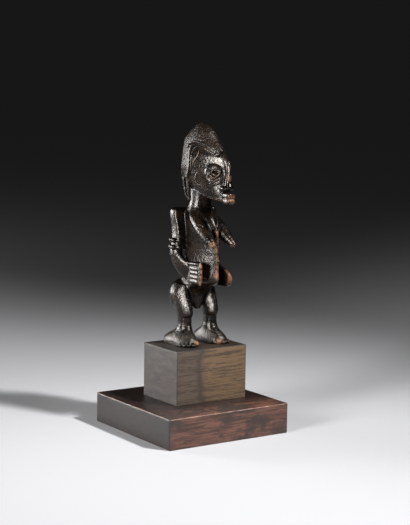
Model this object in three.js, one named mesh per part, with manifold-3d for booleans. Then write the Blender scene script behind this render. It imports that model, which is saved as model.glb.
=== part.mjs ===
// A small standing woman carved from one piece of dark wood, set up on a two-step wooden plinth.
//
// Pieces: a square slab, a block that stands on it, and the carved figure that stands on the block.
// Units are millimetres, +Z is up, the figure faces -Y, and the origin is the middle of the slab's underside.
// The figure is worked out in a frame of its own: x = 0 is its middle plane, z = 0 is the top of the block,
// and its right side is at -x. Rows and points of paired parts give x outwards, and are mirrored.

import * as THREE from 'three';
import { mergeVertices } from 'three/addons/utils/BufferGeometryUtils.js';
import Module from 'manifold-3d';

const wasm = await Module();
wasm.setup();

// Plinth, and where the figure stands on it
const SLAB = { side: 101.5, height: 22, bevel: 0.8 };
const BLOCK = { width: 60, depth: 45, height: 39.5, x: 4.6, y: 2.7, bevel: 0.4 };
const FIGURE = { x: 6.9, y: 2.7 };

// Number of points round a section
const SIDES = {
	trunk: 18, head: 20, yoke: 12, limb: 10, foot: 14, breast: 12, lip: 10,
	ball: 10, hollow: 8, bead: 6, cord: 4,
};

// Further than any part of the figure reaches from the middle plane
const FAR = 300;

// The two sides of the body
const RIGHT = -1;
const LEFT = 1;
const BOTH = [RIGHT, LEFT];

// Smooth curve through rows of numbers. The first number of each row is the place along the curve.
function smoothRows(rows) {
	const places = rows.map((row) => row[0]);
	const size = rows[0].length - 1;
	const values = rows.flatMap((row) => row.slice(1));
	const curve = new THREE.CubicInterpolant(places, values, size, new Float64Array(size));
	return (place) => Array.from(curve.evaluate(THREE.MathUtils.clamp(place, places[0], places.at(-1))));
}

// Point of a round section of size 1 with its own power: 2 is an ellipse, less is pointed, more is squarer.
function roundness(angle, power) {
	const c = Math.cos(angle);
	const s = Math.sin(angle);
	return [Math.sign(c) * Math.abs(c) ** (2 / power), Math.sign(s) * Math.abs(s) ** (2 / power)];
}

// Closed skin over rings that all hold the same number of points, with a fan over each end
function skin(rings) {
	const count = rings[0].length;
	const position = rings.flat().flatMap((point) => point.toArray());
	const index = [];
	for (let ring = 0; ring + 1 < rings.length; ring++) {
		for (let i = 0; i < count; i++) {
			const a = ring * count + i;
			const b = ring * count + ((i + 1) % count);
			index.push(a, b, b + count, a, b + count, a + count);
		}
	}
	for (const last of [false, true]) {
		const ring = last ? rings.length - 1 : 0;
		const middle = new THREE.Vector3();
		for (const point of rings[ring]) middle.addScaledVector(point, 1 / count);
		const centre = position.length / 3;
		position.push(...middle.toArray());
		for (let i = 0; i < count; i++) {
			const a = ring * count + i;
			const b = ring * count + ((i + 1) % count);
			index.push(...(last ? [centre, a, b] : [centre, b, a]));
		}
	}
	const geometry = new THREE.BufferGeometry();
	geometry.setAttribute('position', new THREE.Float32BufferAttribute(position, 3));
	geometry.setIndex(index);
	return geometry;
}

// Level sections stacked upwards. Each row is
// [z, x and y of the middle, half width, reach to the front, reach to the back, front power, back power].
function stack(rows, levels, sides, x0 = 0) {
	const section = smoothRows(rows);
	const low = rows[0][0];
	const high = rows.at(-1)[0];
	const rings = [];
	for (let level = 0; level <= levels; level++) {
		const z = low + ((high - low) * level) / levels;
		const [x, y, width, front, back, frontPower, backPower] = section(z);
		const ring = [];
		for (let i = 0; i < sides; i++) {
			const angle = (2 * Math.PI * (i + 0.5)) / sides;
			const [c, s] = roundness(angle, Math.sin(angle) < 0 ? frontPower : backPower);
			ring.push(new THREE.Vector3(x0 + x + c * width, y + s * (s < 0 ? front : back), z));
		}
		rings.push(ring);
	}
	return skin(rings);
}

// Tube with oval sections and blunt ends along a smooth path. Each row is [x, y, z, half width, half depth],
// and the half width lies along `across`.
function limb(rows, steps, sides, across = new THREE.Vector3(1, 0, 0)) {
	const points = rows.map(([x, y, z]) => new THREE.Vector3(x, y, z));
	const path = new THREE.CatmullRomCurve3(points, false, 'centripetal');
	const radii = smoothRows(rows.map((row, i) => [i, row[3], row[4]]));
	const ring = (t, scale, slide) => {
		const ahead = path.getTangent(t);
		const side = across.clone().addScaledVector(ahead, -ahead.dot(across)).normalize();
		const depth = new THREE.Vector3().crossVectors(ahead, side);
		const [w, d] = radii(t * (rows.length - 1));
		const middle = path.getPoint(t).addScaledVector(ahead, slide * Math.min(w, d));
		return Array.from({ length: sides }, (_, i) => {
			const angle = (2 * Math.PI * i) / sides;
			return middle.clone()
				.addScaledVector(side, Math.cos(angle) * w * scale)
				.addScaledVector(depth, Math.sin(angle) * d * scale);
		});
	};
	const rings = [ring(0, 0.6, -0.8)];
	for (let step = 0; step <= steps; step++) rings.push(ring(step / steps, 1, 0));
	rings.push(ring(1, 0.6, 0.8));
	return skin(rings);
}

// Thin raised or sunk line through points
function cord(points, radius, steps = points.length) {
	const across = new THREE.Vector3(0.3, 0.2, 1);
	return limb(points.map((point) => [...point, radius, radius]), steps, SIDES.cord, across);
}

// Smooth lump: a sphere stretched to three half sizes, turned about x and then about z (radians)
function lump(place, size, turnX = 0, turnZ = 0, sides = SIDES.bead) {
	const geometry = new THREE.SphereGeometry(1, sides, Math.ceil(sides * 0.7));
	return geometry.scale(...size).rotateX(turnX).rotateZ(turnZ).translate(...place);
}

// Flat piece with its outline in the side view, y against z, and bevelled edges
function plate(outline, x, thickness, bevel) {
	const shape = new THREE.Shape(outline.map(([y, z]) => new THREE.Vector2(y, z)));
	const geometry = new THREE.ExtrudeGeometry(shape, {
		depth: thickness - 2 * bevel,
		bevelThickness: bevel,
		bevelSize: bevel,
		bevelOffset: -bevel,
		bevelSegments: 1,
	});
	const turn = new THREE.Matrix4().set(0, 0, 1, 0, 1, 0, 0, 0, 0, 1, 0, 0, 0, 0, 0, 1);
	return geometry.translate(0, 0, bevel - thickness / 2).applyMatrix4(turn).translate(x, 0, 0);
}

// Prism right through the figure with its outline in the side view, for cutting
const prism = (outline) => plate(outline, 0, FAR, 0);

// Points with x outwards, put on one side of the body
const onSide = (points, side) => points.map(([x, ...rest]) => [side * x, ...rest]);
const outwards = ([x, ...rest], side) => [side * x, ...rest];
const rowsOnSide = (rows, side) => rows.map(([z, x, ...rest]) => [z, side * x, ...rest]);

// A closed geometry as a solid that can be joined and cut
function solid(geometry) {
	const bare = geometry.clone();
	bare.deleteAttribute('normal');
	bare.deleteAttribute('uv');
	const merged = mergeVertices(bare, 1e-5);
	return new wasm.Manifold(new wasm.Mesh({
		numProp: 3,
		vertProperties: Float32Array.from(merged.attributes.position.array),
		triVerts: Uint32Array.from(merged.index.array),
	}));
}

const join = (geometries) => geometries.map(solid).reduce((whole, piece) => whole.add(piece));

// A solid back as a three.js geometry
function geometryOf(manifold) {
	const mesh = manifold.getMesh();
	const geometry = new THREE.BufferGeometry();
	geometry.setAttribute('position', new THREE.Float32BufferAttribute(mesh.vertProperties, 3));
	geometry.setIndex(Array.from(mesh.triVerts));
	geometry.computeVertexNormals();
	return geometry;
}

// Box standing on z = 0 with all its edges cut back at 45 degrees
function bevelledBox(width, depth, height, bevel) {
	const w = width / 2 - bevel;
	const d = depth / 2 - bevel;
	const plan = new THREE.Shape([[-w, -d], [w, -d], [w, d], [-w, d]].map(([x, y]) => new THREE.Vector2(x, y)));
	const geometry = new THREE.ExtrudeGeometry(plan, {
		depth: height - 2 * bevel,
		bevelThickness: bevel,
		bevelSize: bevel,
		bevelSegments: 1,
	});
	return geometry.translate(0, 0, bevel);
}

// Trunk from the crotch to the top of the neck: its front comes to an upright ridge like a ship's bow
const TRUNK = [
	[25.5, 0, 1.5, 2.0, 2.0, 3.5, 2.0, 2.0],
	[30, 0, 3, 6.0, 4.8, 6.5, 2.0, 2.0],
	[36, 0, 4, 9.6, 7.6, 9.0, 2.0, 2.2],
	[41, 0, 3, 12.0, 11.2, 9.5, 1.8, 2.3],
	[44.5, 0, 1.5, 13.2, 18.6, 9.0, 1.5, 2.4],
	[46.5, 0, 0.6, 13.2, 22.2, 8.8, 1.5, 2.4],
	[50, 0, 0, 12.8, 23.4, 8.4, 1.46, 2.4],
	[58, 0, 0, 11.8, 23.2, 7.8, 1.32, 2.4],
	[66, 0, 0, 10.5, 22.8, 7.6, 1.34, 2.4],
	[71, 0, 0, 10.2, 22.6, 9.0, 1.36, 2.4],
	[77, 0, 0, 10.6, 22.4, 10.6, 1.38, 2.4],
	[85, 0, 0, 11.6, 21.6, 11.2, 1.42, 2.4],
	[93, 0, 0, 11.8, 17.6, 10.8, 1.6, 2.3],
	[98, 0, -0.5, 9.8, 11.5, 10.6, 1.9, 2.1],
	[101, 0, -1.2, 8.6, 8.2, 9.6, 2.0, 2.0],
	[106, 0, -1.5, 7.8, 7.8, 7.8, 2.0, 2.0],
	[118, 0, -1.5, 7.6, 7.8, 7.6, 2.0, 2.0],
];

// Where the trunk is cut flat at both sides
const FLANK_X = 10.7;

// Raised band down the middle of the belly
const MIDDLE_BAND = [[0, -22.6, 88], [0, -23.0, 80], [0, -23.2, 68], [0, -23.8, 56], [0, -23.6, 48.5]];

// Square shoulders, set back
const YOKE = [
	[90, 0, 7.6, 14.0, 3.6, 3.4, 3.5, 3.5],
	[93, 0, 8.0, 15.5, 4.8, 4.2, 3.5, 3.5],
	[96, 0, 8.2, 15.8, 5.0, 4.4, 3.5, 3.5],
	[98.8, 0, 8.2, 15.2, 4.5, 3.9, 3.5, 3.5],
	[99.6, 0, 8.2, 13.8, 3.6, 3.2, 3.5, 3.5],
];

// Arms. The left hand hangs lower than the right one, and its flat shape is rounder.
const UPPER_ARM = [
	[66, 15.3, 6.9, 3.9, 4.6, 4.8, 3.0, 3.0],
	[70, 15.1, 6.5, 3.9, 4.8, 4.9, 3.0, 3.0],
	[79, 14.1, 5.6, 3.8, 5.2, 5.2, 3.2, 3.2],
	[86, 13.9, 6.2, 4.0, 5.0, 5.0, 3.4, 3.4],
	[94, 14.2, 7.7, 4.4, 4.7, 4.4, 3.4, 3.4],
	[97.6, 14.1, 8.0, 4.2, 4.5, 4.1, 3.4, 3.4],
	[99.2, 13.8, 8.1, 3.4, 3.8, 3.4, 3.2, 3.2],
	[99.7, 13.5, 8.2, 2.2, 2.6, 2.4, 3.0, 3.0],
];
const ARM = {
	[RIGHT]: {
		forearm: [
			[15.6, 7.0, 69, 3.7, 4.2],
			[15.8, 4.4, 63.6, 3.4, 6.0],
			[14.6, -0.8, 57.6, 2.7, 6.6],
			[12.9, -7.0, 55.0, 1.6, 7.2],
		],
		hand: [
			[-3, 60], [-10, 62], [-18, 63.2], [-21.8, 62.4], [-22.6, 58],
			[-22.8, 50], [-21.6, 47], [-14, 46.2], [-8, 46.8], [-3, 50],
		],
		fingers: [[-21.0, 48.4], [-21.4, 51.5], [-21.4, 54.6], [-21.0, 57.6]],
		thumb: [[13.8, -8, 60.8], [14.0, -21.4, 61.4]],
	},
	[LEFT]: {
		forearm: [
			[15.6, 7.0, 69, 3.7, 4.2],
			[15.8, 4.6, 63, 3.4, 6.0],
			[14.6, -0.8, 55.0, 2.7, 6.4],
			[12.9, -7.0, 50.6, 1.6, 6.6],
		],
		hand: [
			[-3, 57], [-9, 57.4], [-15, 56], [-20, 53.4], [-22.6, 50.6],
			[-22.9, 48], [-21.6, 44.8], [-18.4, 43.2], [-8, 43.2], [-3, 46],
		],
		fingers: [[-20.0, 45.2], [-21.4, 47.8], [-20.8, 50.4], [-18.8, 52.8]],
		thumb: [[13.8, -5, 56.2], [14.0, -13.0, 55.0]],
	},
};
const HAND = { x: 12.7, thickness: 3, bevel: 0.7, fingerFrom: -11, fingerWidth: 1.5, fingerDepth: 0.6 };

// Bar that the right hand holds upright
const HAND_BAR = { line: [[13.6, -22.2, 46.6], [13.7, -22.9, 54], [13.6, -22.6, 62.4]], radius: 1.2 };

// Two armlets above the elbow, each a ring that swells into knobs
const ARMLET = {
	x: 14.8, y: 6.0, heights: [76.4, 71.4], radii: [4.3, 4.7], thickness: 1.5, knobs: 6, bulge: 0.3, turn: 0.3,
};

const BREAST = [
	[6.0, -3.2, 94.0, 5.2, 5.0],
	[6.8, -9.0, 90.0, 5.3, 5.2],
	[7.6, -17.0, 84.6, 5.1, 5.1],
	[8.3, -25.0, 79.2, 3.8, 3.9],
	[8.7, -30.0, 76.1, 2.3, 2.4],
	[8.8, -31.4, 75.2, 1.5, 1.6],
];

// Legs and feet
const BUTTOCK = { place: [9.4, 9.4, 35.8], size: [8.2, 8.6, 11.6], tilt: 0.1 };
const THIGH = [
	[20.4, 11.0, 1.0, 4.6, 6.2, 5.5, 1.9, 2.2],
	[21.3, 11.0, 0.9, 5.0, 7.8, 5.7, 1.7, 2.2],
	[24, 11.0, 1.0, 5.4, 9.2, 6.2, 1.5, 2.2],
	[30, 11.1, 3.0, 6.0, 9.8, 7.2, 1.45, 2.2],
	[38, 10.8, 6.0, 6.6, 9.6, 8.4, 1.5, 2.2],
	[44, 9.6, 5.0, 4.8, 6.6, 6.6, 2.0, 2.2],
];
const SHIN = [
	[7, 11.2, 1.0, 5.0, 6.6, 6.2, 2.2, 2.2],
	[11, 11.1, 1.0, 4.6, 5.9, 5.6, 2.3, 2.2],
	[16, 11.0, 1.1, 4.5, 5.7, 5.4, 2.3, 2.2],
	[23, 11.0, 1.1, 4.6, 5.8, 5.4, 2.2, 2.2],
];
const FOOT_X = 12.8;
const FOOT = [
	[0, 0, 3, 7.6, 17.0, 17.8, 2.8, 2.4],
	[1.5, 0, 3, 8.0, 17.6, 18.8, 2.8, 2.4],
	[3.5, 0, 3, 8.0, 17.0, 18.2, 2.6, 2.3],
	[5.5, 0.2, 3, 7.5, 15.8, 16.2, 2.4, 2.2],
	[8, 0.7, 3, 6.5, 13.4, 12.0, 2.2, 2.0],
	[10, 1.2, 2.4, 5.7, 10.4, 8.0, 2.0, 2.0],
	[12, 1.6, 1.6, 5.2, 7.4, 6.4, 2.0, 2.0],
	[13.5, 1.7, 1.3, 4.9, 6.2, 6.0, 2.0, 2.0],
];
// Each toe: x and y of its middle, and its radius
const TOES = [
	[9.9, -11.2, 2.5], [13.2, -12.6, 1.9], [15.9, -11.6, 1.7], [17.9, -9.4, 1.6], [19.1, -6.6, 1.5],
];
const TOE = { halfLength: 4.2, spread: 0.07 };

// Skull and face: a wedge that comes forward to the nose and mouth, cut off along the jaw
const FACE = [
	[100, 0, -14, 6.4, 20.5, 14.0, 1.7, 2.2],
	[107, 0, -12, 7.6, 22.6, 15.0, 1.8, 2.2],
	[113, 0, -9, 9.6, 24.4, 17.0, 1.9, 2.2],
	[120, 0, -7, 11.2, 26.0, 18.5, 1.75, 2.2],
	[127, 0, -7, 12.7, 27.4, 20.0, 1.4, 2.2],
	[134, 0, -7, 12.8, 26.0, 20.0, 1.25, 2.2],
	[139, 0, -7, 12.2, 24.0, 19.0, 1.25, 2.2],
	[147, 0, -6, 8.6, 12.0, 16.0, 1.5, 2.2],
];
const JAW_CUT = [
	[24, 131], [8, 121], [-5, 113], [-14, 110.4], [-25, 107.6], [-42, 106.2], [-42, 90], [24, 90],
];

// Cap of hair that rises to a crest, cut away over the temple and brow
const HAIR = [
	[122, 0, -6, 13.6, 20.0, 20.5, 1.5, 2.1],
	[130, 0, -6, 14.4, 23.5, 20.8, 1.35, 2.1],
	[138, 0, -6, 13.4, 24.0, 21.0, 1.35, 2.0],
	[142, 0, -6, 12.4, 22.2, 21.6, 1.4, 2.0],
	[145, 0, -6, 11.6, 19.4, 21.4, 1.5, 2.0],
	[149.4, 0, -6, 10.2, 13.9, 20.7, 1.7, 2.0],
	[153, 0, -5, 8.2, 12.0, 16.1, 1.85, 2.0],
	[155.8, 0, -4.5, 6.3, 10.0, 11.9, 2.0, 2.0],
	[158.4, 0, -3.8, 4.3, 7.0, 8.0, 2.0, 2.0],
	[160, 0, -3.4, 2.6, 4.2, 4.9, 2.0, 2.0],
	[160.9, 0, -3.2, 0.8, 1.2, 1.5, 2.0, 2.0],
];
const HAIR_CUT = [
	[-50, 139.8], [-27, 139.8], [-24.6, 139.2], [-21.6, 141], [-17.8, 143], [-13, 144.7], [-9.5, 145.2],
	[-7.2, 143.4], [-6.6, 140], [-7, 134], [-6.8, 128], [-3, 120], [-50, 120],
];
const HAIR_RIDGES = [
	[
		[12.9, -2.6, 143.5], [12.2, -4.2, 146.3], [11.2, -8.3, 147.9], [9.6, -12, 147.4],
		[7.4, -17.3, 146], [5.7, -20.8, 143.9], [3.8, -24.6, 141.4],
	],
	[
		[13.6, -6.0, 134], [13.0, -6.0, 141.5], [12.2, -6.4, 144.6], [11.2, -8.9, 145.9],
		[9.6, -13, 145.1], [8.0, -17.8, 143.4], [6.4, -21.6, 141.5], [4.6, -25, 139.9],
	],
];

// Features of the face
const BROW_GROOVE = [
	[9.5, -20, 131.6], [8.3, -22.5, 133.3], [6.6, -25.6, 134],
	[4.5, -29.1, 133.2], [3.1, -31.4, 131.8], [1.6, -33.4, 129.6],
];
// The socket, the lid that bulges in it and the eye share one turn about z
const FACE_TURN = 0.51;
const SOCKET = { place: [7.6, -26.4, 127.4], size: [2.3, 8.4, 7.0] };
const LID = { place: [5.6, -26.0, 127.2], size: [2.1, 7.0, 5.9] };
const EYE = {
	place: [6.9, -27.9, 125.9], length: 5.4, height: 2.5, tilt: 0.4, rim: 0.6, ball: [1.3, 3.9, 0.85],
};
const TEMPLE = { place: [13.6, -15.4, 136.6], size: [3.2, 8.4, 8.2], turn: 0.22 };
const NOSE = [
	[0, -29.4, 140, 1.2, 1.4],
	[0, -34.6, 133.6, 1.4, 2.4],
	[0, -36.4, 127, 1.6, 2.6],
	[0, -35.6, 120.5, 2.2, 2.8],
	[0, -36.4, 117, 3.0, 3.2],
];
const NOSTRIL = { place: [2.6, -34.6, 116.2], size: [2.0, 4.2, 1.7] };
const LIPS = [
	[105.4, 0, -37, 2.9, 3.4, 6.0, 4.0, 3.0],
	[106.3, 0, -37, 3.3, 4.3, 6.0, 4.0, 3.0],
	[108.4, 0, -37, 3.3, 4.3, 6.0, 4.0, 3.0],
	[109.2, 0, -37, 2.8, 3.5, 6.0, 4.0, 3.0],
	[110.0, 0, -37, 3.4, 4.4, 6.0, 4.0, 3.0],
	[112.2, 0, -37, 3.4, 4.4, 6.0, 4.0, 3.0],
	[113.0, 0, -37, 2.8, 3.4, 6.0, 4.0, 3.0],
];
const EAR = [[11.6, -13.6, 125.6], [11.8, -12.2, 122.4], [11.3, -12.2, 119.4], [10.2, -14.4, 117.4]];

// Plaits beside the neck and down the nape
const SIDE_PLAIT = [
	[12.2, -2.0, 132, 1.6, 2.0],
	[12.0, -2.0, 124, 1.2, 1.8],
	[11.2, -2.4, 114, 1.1, 1.6],
	[10.4, -2.6, 106, 1.0, 1.4],
];
const NAPE_PLAIT = [
	[0, 13.6, 132, 6.0, 2.6],
	[0, 15.8, 126, 5.8, 2.3],
	[0, 14.8, 118, 5.0, 2.0],
	[0, 13.8, 110, 4.2, 1.8],
	[0, 12.6, 105.4, 3.2, 1.4],
];
const SPINE = { place: [0, 11.4, 76], size: [1.3, 1.6, 18] };

// One side's arm with its armlets and its flat hand with four fingers and a thumb
function arm(side) {
	const { forearm, hand, fingers, thumb } = ARM[side];
	const outside = HAND.x + HAND.thickness / 2;
	const finger = ([tip, z]) => limb(onSide([
		[outside, HAND.fingerFrom, z, HAND.fingerDepth, HAND.fingerWidth],
		[outside, tip + HAND.fingerWidth, z, HAND.fingerDepth, HAND.fingerWidth],
	], side), 1, SIDES.bead);
	return [
		stack(rowsOnSide(UPPER_ARM, side), 6, SIDES.limb),
		limb(onSide(forearm, side), 5, SIDES.limb),
		plate(hand, side * HAND.x, HAND.thickness, HAND.bevel),
		...fingers.map(finger),
		cord(onSide(thumb, side), 1.5, 2),
		...ARMLET.heights.map((z, i) => armlet(side, z, ARMLET.radii[i])),
	];
}

// A ring whose thickness swells into knobs
function armlet(side, z, radius) {
	const geometry = new THREE.TorusGeometry(radius, ARMLET.thickness, SIDES.cord + 1, 2 * ARMLET.knobs);
	const position = geometry.attributes.position;
	for (let i = 0; i < position.count; i++) {
		const angle = Math.atan2(position.getY(i), position.getX(i));
		const swell = 1 + ARMLET.bulge * Math.cos(ARMLET.knobs * angle);
		const out = radius + (Math.hypot(position.getX(i), position.getY(i)) - radius) * swell;
		position.setXYZ(i, out * Math.cos(angle), out * Math.sin(angle), position.getZ(i) * swell);
	}
	return geometry.rotateZ(ARMLET.turn).translate(side * ARMLET.x, ARMLET.y, z);
}

// One side's buttock, thigh, lower leg and foot with five toes
function leg(side) {
	return [
		lump(outwards(BUTTOCK.place, side), BUTTOCK.size, BUTTOCK.tilt, 0, SIDES.ball),
		stack(rowsOnSide(THIGH, side), 6, SIDES.limb),
		stack(rowsOnSide(SHIN, side), 2, SIDES.limb),
		stack(rowsOnSide(FOOT, -side), 6, SIDES.foot, side * FOOT_X),
		...TOES.map(([toeX, toeY, radius]) => lump(
			[side * toeX, toeY, radius],
			[radius, TOE.halfLength, radius],
			0,
			side * (toeX - TOES[0][0]) * TOE.spread,
		)),
	];
}

// One side's eye, nostril, ear, plait and the raised lines of the hair
function sideOfHead(side) {
	const normal = new THREE.Vector3(side * Math.cos(FACE_TURN), -Math.sin(FACE_TURN), 0);
	const along = new THREE.Vector3(side * Math.sin(FACE_TURN), Math.cos(FACE_TURN), 0)
		.applyAxisAngle(normal, -side * EYE.tilt);
	const across = new THREE.Vector3().crossVectors(normal, along);
	const centre = new THREE.Vector3(side * EYE.place[0], EYE.place[1], EYE.place[2]);
	const rim = Array.from({ length: 8 }, (_, i) => {
		const angle = (Math.PI * i) / 4;
		const narrow = 1 - 0.35 * Math.cos(angle) ** 4;
		return centre.clone()
			.addScaledVector(along, EYE.length * Math.cos(angle))
			.addScaledVector(across, EYE.height * narrow * Math.sin(angle));
	});
	return [
		new THREE.TubeGeometry(new THREE.CatmullRomCurve3(rim, true), 10, EYE.rim, SIDES.cord, true),
		lump(centre.toArray(), EYE.ball, EYE.tilt, -side * FACE_TURN),
		lump(outwards(NOSTRIL.place, side), NOSTRIL.size),
		cord(onSide(EAR, side), 0.8, 3),
		...HAIR_RIDGES.map((ridge) => cord(onSide(ridge, side), 0.8, 5)),
		limb(onSide(SIDE_PLAIT, side), 3, SIDES.bead),
	];
}

function head() {
	const jaw = solid(prism(JAW_CUT));
	const hair = solid(stack(HAIR, 12, SIDES.head)).subtract(solid(prism(HAIR_CUT)));
	const hollows = BOTH.flatMap((side) => [
		lump(outwards(SOCKET.place, side), SOCKET.size, 0, -side * FACE_TURN, SIDES.hollow),
		lump(outwards(TEMPLE.place, side), TEMPLE.size, 0, -side * TEMPLE.turn, SIDES.hollow),
	]);
	const lids = BOTH.map((side) => lump(outwards(LID.place, side), LID.size, 0, -side * FACE_TURN, SIDES.ball));
	const grooves = BOTH.map((side) => cord(onSide(BROW_GROOVE, side), 0.9, 4));
	return solid(stack(FACE, 10, SIDES.head))
		.add(hair)
		.subtract(jaw)
		.subtract(join(hollows))
		.add(join(lids))
		.subtract(join(grooves));
}

function trunk() {
	const flanks = new THREE.BoxGeometry(2 * FLANK_X, FAR, FAR);
	return solid(stack(TRUNK, 15, SIDES.trunk))
		.intersect(solid(flanks))
		.subtract(solid(lump(SPINE.place, SPINE.size)));
}

const figure = join([
	stack(YOKE, 4, SIDES.yoke),
	limb(NOSE, 5, SIDES.bead),
	stack(LIPS, 7, SIDES.lip),
	limb(NAPE_PLAIT, 4, SIDES.limb),
	cord(MIDDLE_BAND, 1.1),
	cord(onSide(HAND_BAR.line, RIGHT), HAND_BAR.radius),
	...BOTH.flatMap((side) => [
		...arm(side),
		...leg(side),
		...sideOfHead(side),
		limb(onSide(BREAST, side), 5, SIDES.breast),
	]),
]).add(trunk()).add(head());

const part = new THREE.Group();

function addPiece(name, geometry, color, place) {
	const wood = new THREE.MeshStandardMaterial({ color, roughness: 0.42, metalness: 0 });
	const mesh = new THREE.Mesh(geometry, wood);
	mesh.name = name;
	mesh.position.set(...place);
	part.add(mesh);
}

addPiece('slab', bevelledBox(SLAB.side, SLAB.side, SLAB.height, SLAB.bevel), 0x3a211b, [0, 0, 0]);
addPiece('block', bevelledBox(BLOCK.width, BLOCK.depth, BLOCK.height, BLOCK.bevel), 0x4a3826,
	[BLOCK.x, BLOCK.y, SLAB.height]);
addPiece('figure', geometryOf(figure), 0x1d1411, [FIGURE.x, FIGURE.y, SLAB.height + BLOCK.height]);

export default part;
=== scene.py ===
"""Small standing woman carved from one piece of dark wood, on a wooden block and a square wooden slab.

The carving is worked out as clay: signed distances in mm, built up and cut with numpy from named rows,
skinned with a mesh and settled onto the exact surface. The plinth pieces are profiles carried round a
rectangle with round corners. All finishes are procedural.
"""

import math
from collections import namedtuple

import bmesh
import bpy
import numpy as np
from mathutils import Matrix, Vector


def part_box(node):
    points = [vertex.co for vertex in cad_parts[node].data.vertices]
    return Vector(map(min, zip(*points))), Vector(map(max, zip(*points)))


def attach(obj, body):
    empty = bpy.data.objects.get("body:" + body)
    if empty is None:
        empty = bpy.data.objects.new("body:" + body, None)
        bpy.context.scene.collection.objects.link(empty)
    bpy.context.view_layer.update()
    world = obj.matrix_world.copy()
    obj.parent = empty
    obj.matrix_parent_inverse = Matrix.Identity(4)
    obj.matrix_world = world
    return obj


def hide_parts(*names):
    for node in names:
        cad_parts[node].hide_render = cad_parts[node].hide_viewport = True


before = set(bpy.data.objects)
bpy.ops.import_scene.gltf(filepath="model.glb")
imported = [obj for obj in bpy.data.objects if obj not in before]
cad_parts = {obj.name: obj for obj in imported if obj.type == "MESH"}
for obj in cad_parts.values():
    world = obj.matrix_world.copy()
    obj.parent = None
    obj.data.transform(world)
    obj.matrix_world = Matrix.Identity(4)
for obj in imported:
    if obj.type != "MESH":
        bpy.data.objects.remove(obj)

bl_info = {
    "name": "Carved Standing Figure",
    "version": (1, 0, 0),
    "blender": (4, 5, 0),
    "location": "View3D > Sidebar > Figure",
    "description": "Builds a small carved wooden figure on its plinth, with procedural wood finishes",
    "category": "Add Mesh",
}

MM = 0.001
RIGHT, LEFT = -1, 1
BOTH = (RIGHT, LEFT)
# Farther than the carving reaches to any side, in mm
FAR = 50.0

# The figure's own frame is in mm: x = 0 is its middle plane, z = 0 the top of the block, and it faces -y.
# Paired parts give x outwards.
# A level row is z, x and y of the middle, half width, reach to the front and to the back, and the powers of
# the front and the back curve.
TRUNK = [
    (25.5, 0, 1.5, 2, 2, 3.5, 2, 2),
    (30, 0, 3, 6, 4.8, 6.5, 2, 2),
    (36, 0, 4, 9.6, 7.6, 9, 2, 2.2),
    (41, 0, 3, 12, 11.2, 9.5, 1.8, 2.3),
    (44.5, 0, 1.5, 13.2, 18.6, 9, 1.5, 2.4),
    (46.5, 0, 0.6, 13.2, 22.2, 8.8, 1.5, 2.4),
    (50, 0, 0, 12.8, 23.4, 8.4, 1.46, 2.4),
    (58, 0, 0, 11.8, 23.2, 7.8, 1.32, 2.4),
    (66, 0, 0, 10.5, 22.8, 7.6, 1.34, 2.4),
    (71, 0, 0, 10.2, 22.6, 9, 1.36, 2.4),
    (77, 0, 0, 10.6, 22.4, 10.6, 1.38, 2.4),
    (85, 0, 0, 11.6, 21.6, 11.2, 1.42, 2.4),
    (93, 0, 0, 11.8, 17.6, 10.8, 1.6, 2.3),
    (98, 0, -0.5, 9.8, 11.5, 10.6, 1.9, 2.1),
    (101, 0, -1.2, 8.6, 8.2, 9.6, 2, 2),
    (106, 0, -1.5, 7.8, 7.8, 7.8, 2, 2),
    (118, 0, -1.5, 7.6, 7.8, 7.6, 2, 2),
]
FLANK_X = 10.7
YOKE = [
    (90, 0, 7.6, 14, 3.6, 3.4, 3.5, 3.5),
    (93, 0, 8, 15.5, 4.8, 4.2, 3.5, 3.5),
    (96, 0, 8.2, 15.8, 5, 4.4, 3.5, 3.5),
    (98.8, 0, 8.2, 15.2, 4.5, 3.9, 3.5, 3.5),
    (99.6, 0, 8.2, 13.8, 3.6, 3.2, 3.5, 3.5),
]
FOOT_X = 12.8
FOOT = [
    (0, 0, 3, 7.6, 17, 17.8, 2.8, 2.4),
    (1.5, 0, 3, 8, 17.6, 18.8, 2.8, 2.4),
    (3.5, 0, 3, 8, 17, 18.2, 2.6, 2.3),
    (5.5, 0.2, 3, 7.5, 15.8, 16.2, 2.4, 2.2),
    (8, 0.7, 3, 6.5, 13.4, 12, 2.2, 2),
    (10, 1.2, 2.4, 5.7, 10.4, 8, 2, 2),
    (12, 1.6, 1.6, 5.2, 7.4, 6.4, 2, 2),
    (13.5, 1.7, 1.3, 4.9, 6.2, 6, 2, 2),
]
FACE = [
    (100, 0, -14, 6.4, 20.5, 14, 1.7, 2.2),
    (107, 0, -12, 7.6, 22.6, 15, 1.8, 2.2),
    (113, 0, -9, 9.6, 24.4, 17, 1.9, 2.2),
    (120, 0, -7, 11.2, 26, 18.5, 1.75, 2.2),
    (127, 0, -7, 12.7, 27.4, 20, 1.4, 2.2),
    (134, 0, -7, 12.8, 26, 20, 1.25, 2.2),
    (139, 0, -7, 12.2, 24, 19, 1.25, 2.2),
    (147, 0, -6, 8.6, 12, 16, 1.5, 2.2),
]
HAIR = [
    (122, 0, -6, 13.6, 20, 20.5, 1.5, 2.1),
    (130, 0, -6, 14.4, 23.5, 20.8, 1.35, 2.1),
    (138, 0, -6, 13.4, 24, 21, 1.35, 2),
    (142, 0, -6, 12.4, 22.2, 21.6, 1.4, 2),
    (145, 0, -6, 11.6, 19.4, 21.4, 1.5, 2),
    (149.4, 0, -6, 10.2, 13.9, 20.7, 1.7, 2),
    (153, 0, -5, 8.2, 12, 16.1, 1.85, 2),
    (155.8, 0, -4.5, 6.3, 10, 11.9, 2, 2),
    (158.4, 0, -3.8, 4.3, 7, 8, 2, 2),
    (160, 0, -3.4, 2.6, 4.2, 4.9, 2, 2),
    (160.9, 0, -3.2, 0.8, 1.2, 1.5, 2, 2),
]
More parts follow.
